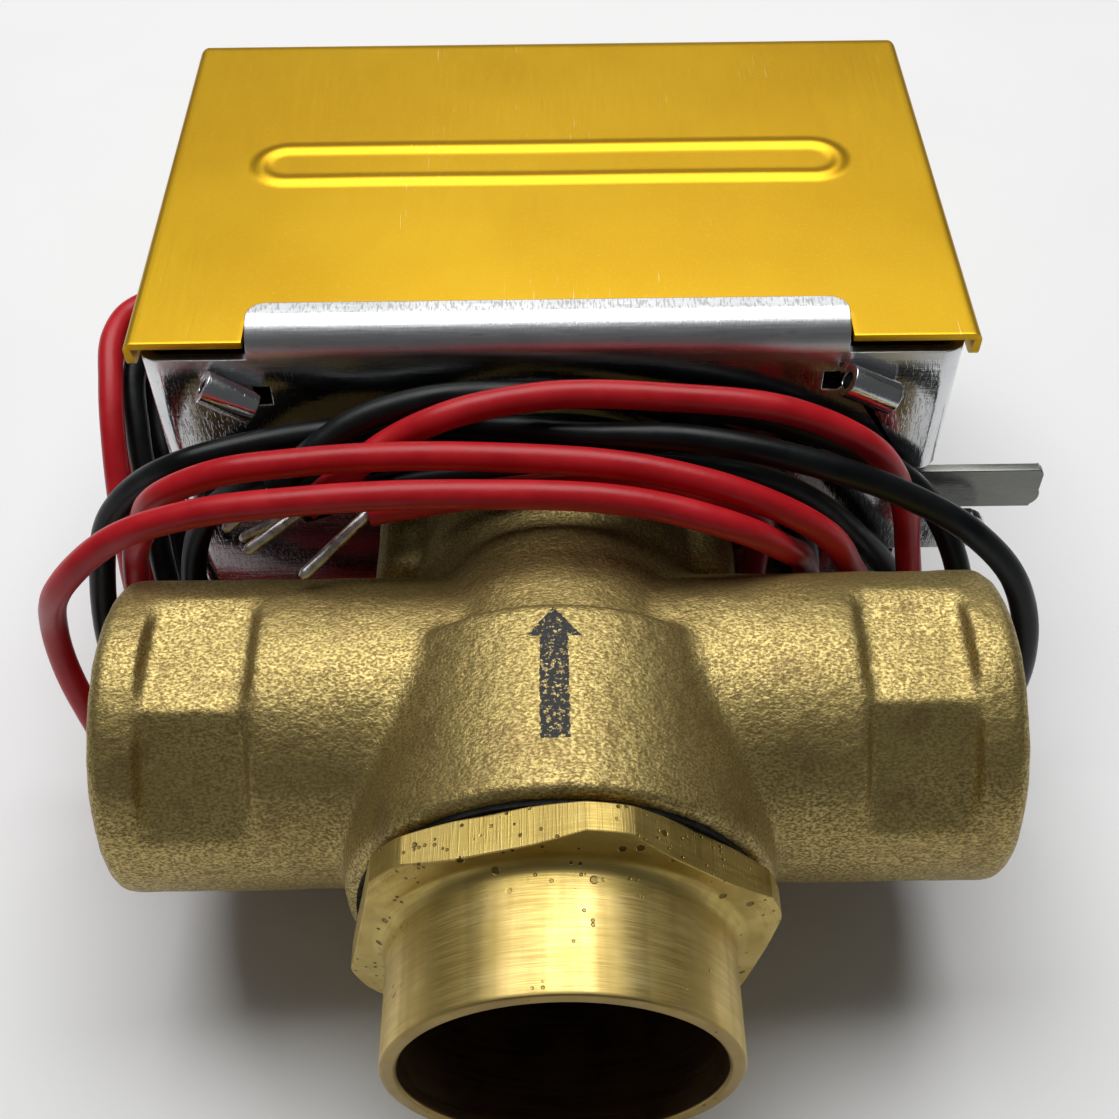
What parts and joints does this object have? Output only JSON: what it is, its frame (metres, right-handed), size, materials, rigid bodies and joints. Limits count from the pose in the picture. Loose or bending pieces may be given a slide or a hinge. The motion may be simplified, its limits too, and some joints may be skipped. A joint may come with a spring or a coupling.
{
  "type": "zone valve",
  "caption": "Motorised three-way zone valve: cast brass tee with a swinging ball plug under a spring-return motor head with a gold cover, manual lever and lead wires.",
  "frame": {"origin": "centre of the bottom port's mouth, where the copper tube enters the sweat adapter", "axes": "+X along the two in-line threaded ports, -Y out of the bottom port so +Y points into the motor head, +Z out of the head's front face; the part lies on its back"},
  "size_m": [0.1125, 0.1263, 0.0554],
  "materials": {
    "cast_brass": "sand-cast, matt",
    "turned_brass": "machined, satin",
    "zinc_steel": "bright zinc plate",
    "bright_steel": "zinc plated",
    "spring_steel": "bright wire",
    "gold_cover": "gold anodised, finely brushed",
    "black_rubber": "matt",
    "white_plastic": "natural acetal",
    "black_plastic": "moulded",
    "red_plastic": "moulded",
    "copper": "enamelled copper winding",
    "tin": "tinned",
    "red_pvc": "soft sheen",
    "black_pvc": "soft sheen"
  },
  "bodies": {
    "body": {"valve_body": "cast_brass", "seat_a": "turned_brass", "seat_b": "turned_brass", "sweat_adapter": "turned_brass", "adapter_gasket": "black_rubber", "bonnet": "turned_brass", "bonnet_gasket": "black_rubber", "shaft_bushing": "white_plastic", "shaft_o_rings": "black_rubber", "chassis": "zinc_steel", "head_screws": "bright_steel", "return_spring": "spring_steel", "spring_post": "bright_steel", "motor_posts": "zinc_steel", "motor_plate": "zinc_steel", "motor_screws": "bright_steel", "motor_can": "zinc_steel", "gear_plate": "zinc_steel", "motor_coil": "copper", "switch_bracket": "zinc_steel", "bracket_rivets": "bright_steel", "switch_body": "black_plastic", "switch_screws": "bright_steel", "switch_terminals": "tin", "lead_grommet": "black_rubber", "lead_red_1": "red_pvc", "lead_red_2": "red_pvc", "lead_black_1": "black_pvc", "lead_black_2": "black_pvc", "strands_red_1": "tin", "strands_red_2": "tin", "strands_black_1": "tin", "strands_black_2": "tin"},
    "shaft": {"valve_shaft": "bright_steel", "crank_arm": "bright_steel", "ball_stud": "turned_brass", "ball_plug": "black_rubber", "shaft_clip": "bright_steel", "manual_lever": "zinc_steel", "lever_pin": "bright_steel", "sector_gear": "white_plastic"},
    "output_train": {"drive_pinion": "turned_brass", "output_gear": "turned_brass"},
    "reduction": {"reduction_gear": "white_plastic"},
    "rotor": {"motor_rotor": "black_plastic"},
    "switch_leaf": {"switch_lever": "bright_steel"},
    "switch_plunger": {"switch_button": "red_plastic"},
    "cover": {"cover": "gold_cover", "cover_screw": "bright_steel"}
  },
  "joints": [
    {"name": "valve_swing", "type": "hinge", "parent": "body", "child": "shaft", "pos_m": [0, 0.056, -0.0145], "axis": [0, 1, 0], "range_deg": [0, 24.8], "stiffness_Nm_per_rad": 0.25, "springref_deg": -11.46, "deforming": ["return_spring"]},
    {"name": "pinion_spin", "type": "hinge", "parent": "body", "child": "output_train", "pos_m": [-0.02605, 0.072, 0.00735], "axis": [0, 1, 0], "range_deg": [-115.93, 0]},
    {"name": "reduction_spin", "type": "hinge", "parent": "body", "child": "reduction", "pos_m": [-0.02772, 0.08, -0.00159], "axis": [0, 1, 0], "range_deg": [0, 386.28]},
    {"name": "rotor_spin", "type": "hinge", "parent": "body", "child": "rotor", "pos_m": [-0.019, 0.092, 0.001], "axis": [0, 1, 0], "range_deg": [-1286.93, 0]},
    {"name": "switch_leaf_swing", "type": "hinge", "parent": "body", "child": "switch_leaf", "pos_m": [0.025, 0.074, 0.00495], "axis": [0, 1, 0], "range_deg": [0, 3.9]},
    {"name": "switch_button_press", "type": "slide", "parent": "body", "child": "switch_plunger", "axis": [0, 0, 1], "range_m": [0, 0.00055]},
    {"name": "cover_slide", "type": "slide", "parent": "body", "child": "cover", "axis": [0, 1, 0], "range_m": [0, 0.075]}
  ],
  "couplings": [
    {"joint": "pinion_spin", "follows": "valve_swing", "ratio": -4.6667},
    {"joint": "reduction_spin", "follows": "valve_swing", "ratio": 15.556},
    {"joint": "rotor_spin", "follows": "valve_swing", "ratio": -51.852},
    {"joint": "switch_leaf_swing", "follows": "valve_swing", "ratio": 0.15476},
    {"joint": "switch_button_press", "follows": "valve_swing", "m_per_rad": 0.001238}
  ]
}
